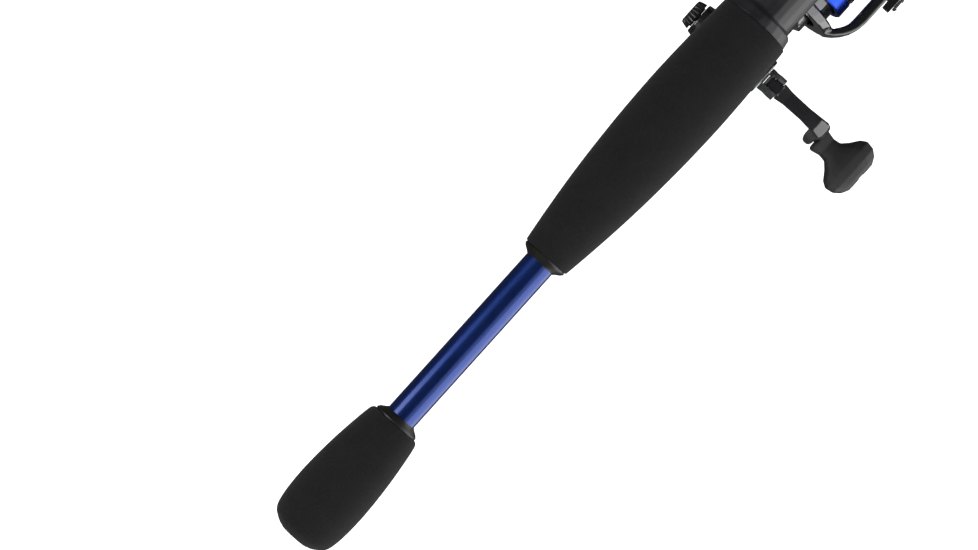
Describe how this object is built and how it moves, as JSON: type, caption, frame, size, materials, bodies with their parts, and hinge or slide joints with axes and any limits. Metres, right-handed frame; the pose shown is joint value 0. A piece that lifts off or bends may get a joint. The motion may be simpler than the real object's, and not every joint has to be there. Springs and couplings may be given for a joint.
{
  "type": "telescopic spinning rod and reel",
  "caption": "Telescopic fishing rod with a split foam grip, sliding-hood reel seat and an open-face spinning reel with folding-style crank, bail, drag and line guides.",
  "frame": {"origin": "centre of the flat end face at the rod's butt, on the rod's own axis", "axes": "+X along the rod from the butt to the tip, +Z the spine side of the rod away from the reel, +Y the side of the crank's screw cap"},
  "size_m": [0.4793, 0.1096, 0.1358],
  "materials": {
    "foam": "matte closed-cell foam",
    "blank": "metallic blue lacquer over fibre-reinforced tube, gloss",
    "winding_check": "satin",
    "end_plug": "matte",
    "seat": "satin",
    "hood": "satin",
    "guide_frame": "dark plated, satin",
    "guide_ring": "polished",
    "wire": "polished",
    "collar": "polished",
    "reel_body": "gloss",
    "rotor": "gloss",
    "spool": "anodised, satin",
    "drag_knob": "satin",
    "drag_washer": "pressed felt",
    "steel": "bright",
    "roller": "polished",
    "drive_gear": "die-cast zinc alloy, as cast",
    "brass": "machined",
    "crank_arm": "satin paint",
    "crank_knob": "moulded, soft matte",
    "screw_cap": "moulded, satin",
    "lever": "moulded, satin"
  },
  "bodies": {
    "rod": {"butt_tube": "blank", "butt_grip": "foam", "butt_plug": "end_plug", "butt_check": "winding_check", "rear_check": "winding_check", "rear_grip": "foam", "reel_seat": "seat", "fore_grip": "foam", "fore_check": "winding_check", "hook_keeper": "wire", "tube_collar": "collar", "reel_body": "reel_body", "side_cover": "reel_body", "cover_screw_1": "steel", "cover_screw_2": "steel", "cover_screw_3": "steel", "gear_bearing_left": "steel", "gear_bearing_right": "steel", "pinion_bearing": "steel", "clutch_bearing": "steel"},
    "hood": {"sliding_hood": "hood"},
    "nut": {"lock_nut": "hood"},
    "second_section": {"section_2": "blank", "guide_frame_2": "guide_frame", "guide_ring_2": "guide_ring"},
    "third_section": {"section_3": "blank", "guide_frame_3": "guide_frame", "guide_ring_3": "guide_ring"},
    "fourth_section": {"section_4": "blank", "guide_frame_4": "guide_frame", "guide_ring_4": "guide_ring"},
    "tip_section": {"section_5": "blank", "guide_frame_5": "guide_frame", "guide_ring_5": "guide_ring"},
    "crank": {"drive_gear": "drive_gear", "crank_shank": "steel", "knuckle_pin": "steel", "crank_arm": "crank_arm", "knob_spindle": "steel"},
    "knob": {"crank_knob": "crank_knob"},
    "cap": {"screw_cap": "screw_cap"},
    "rotor_group": {"rotor": "rotor", "rotor_nut": "brass", "pinion": "brass", "arm_pivot_screw": "steel", "holder_pivot_screw": "steel"},
    "bail": {"bail_arm": "rotor", "bail_holder": "rotor", "bail_wire": "wire", "roller_screw": "steel"},
    "roller": {"line_roller": "roller"},
    "oscillator": {"oscillator_gear": "brass"},
    "spool_shaft": {"main_shaft": "steel", "slider": "drive_gear"},
    "spool_group": {"spool": "spool", "drag_washer": "drag_washer", "drag_retainer": "steel"},
    "drag_knob_group": {"drag_knob": "drag_knob"},
    "reverse_lever": {"anti_reverse_lever": "lever"}
  },
  "joints": [
    {"name": "second_section_slide", "type": "slide", "parent": "rod", "child": "second_section", "axis": [1, 0, 0], "range_m": [0, 0.344]},
    {"name": "third_section_slide", "type": "slide", "parent": "second_section", "child": "third_section", "axis": [1, 0, 0], "range_m": [0, 0.356]},
    {"name": "fourth_section_slide", "type": "slide", "parent": "third_section", "child": "fourth_section", "axis": [1, 0, 0], "range_m": [0, 0.368]},
    {"name": "tip_section_slide", "type": "slide", "parent": "fourth_section", "child": "tip_section", "axis": [1, 0, 0], "range_m": [0, 0.38]},
    {"name": "hood_slide", "type": "slide", "parent": "rod", "child": "hood", "axis": [1, 0, 0], "range_m": [0, 0.012]},
    {"name": "nut_turn", "type": "hinge", "parent": "hood", "child": "nut", "pos_m": [0.311, 0, 0], "axis": [1, 0, 0], "range_deg": [0, 1440]},
    {"name": "crank_turn", "type": "hinge", "parent": "rod", "child": "crank", "pos_m": [0.245, -0.02, -0.0735], "axis": [0, 1, 0], "continuous": true},
    {"name": "rotor_turn", "type": "hinge", "parent": "rod", "child": "rotor_group", "pos_m": [0.275, 0, -0.065], "axis": [1, 0, 0], "continuous": true},
    {"name": "oscillator_turn", "type": "hinge", "parent": "rod", "child": "oscillator", "pos_m": [0.2309, -0.0088, -0.0735], "axis": [0, 1, 0], "continuous": true},
    {"name": "spool_travel", "type": "slide", "parent": "rod", "child": "spool_shaft", "axis": [1, 0, 0], "range_m": [-0.0045, 0.0045]},
    {"name": "spool_slip", "type": "hinge", "parent": "spool_shaft", "child": "spool_group", "pos_m": [0.303, 0, -0.065], "axis": [1, 0, 0], "continuous": true},
    {"name": "drag_knob_turn", "type": "hinge", "parent": "spool_shaft", "child": "drag_knob_group", "pos_m": [0.315, 0, -0.065], "axis": [1, 0, 0], "range_deg": [-360, 360]},
    {"name": "bail_flip", "type": "hinge", "parent": "rotor_group", "child": "bail", "pos_m": [0.299, 0, -0.065], "axis": [0, -1, 0], "range_deg": [0, 113]},
    {"name": "roller_spin", "type": "hinge", "parent": "bail", "child": "roller", "pos_m": [0.30462, 0.0297, -0.07891], "axis": [0, 1, 0], "continuous": true},
    {"name": "knob_spin", "type": "hinge", "parent": "crank", "child": "knob", "pos_m": [0.245, -0.061, -0.114], "axis": [0, 1, 0], "continuous": true},
    {"name": "screw_cap_turn", "type": "hinge", "parent": "crank", "child": "cap", "pos_m": [0.245, 0.018, -0.0735], "axis": [0, 1, 0], "range_deg": [0, 720]},
    {"name": "reverse_lever_rock", "type": "hinge", "parent": "rod", "child": "reverse_lever", "pos_m": [0.2315, 0, -0.0855], "axis": [0, -1, 0], "range_deg": [0, 30]}
  ],
  "couplings": [
    {"joint": "rotor_turn", "follows": "crank_turn", "ratio": -5.2},
    {"joint": "oscillator_turn", "follows": "crank_turn", "ratio": -0.5},
    {"joint": "nut_turn", "follows": "hood_slide", "rad_per_m": 2094.4}
  ]
}
